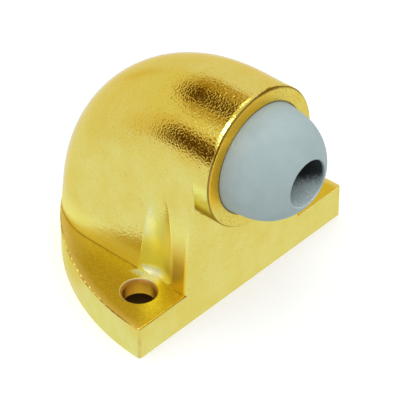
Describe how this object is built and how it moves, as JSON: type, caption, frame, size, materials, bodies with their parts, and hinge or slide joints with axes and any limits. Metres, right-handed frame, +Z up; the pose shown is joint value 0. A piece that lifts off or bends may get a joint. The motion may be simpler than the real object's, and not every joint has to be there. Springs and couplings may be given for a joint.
{
  "type": "elbow door stop",
  "caption": "Floor-mounted door stop: cast brass elbow on a flat base with countersunk screw holes, holding a domed grey rubber bumper that faces the door.",
  "frame": {"origin": "on the floor plane, midway between the two floor screws", "axes": "+Z up from the floor, +X along the straight front edge, -Y the way the bumper faces, towards the door"},
  "size_m": [0.07, 0.0692, 0.0567],
  "materials": {
    "polished_brass": "polished cast brass with a fine orange-peel skin",
    "grey_rubber": "matte moulded rubber",
    "screw_steel": "plated steel"
  },
  "bodies": {
    "root": {"elbow_body": "polished_brass", "rubber_bumper": "grey_rubber", "bumper_screw": "screw_steel"}
  },
  "joints": []
}
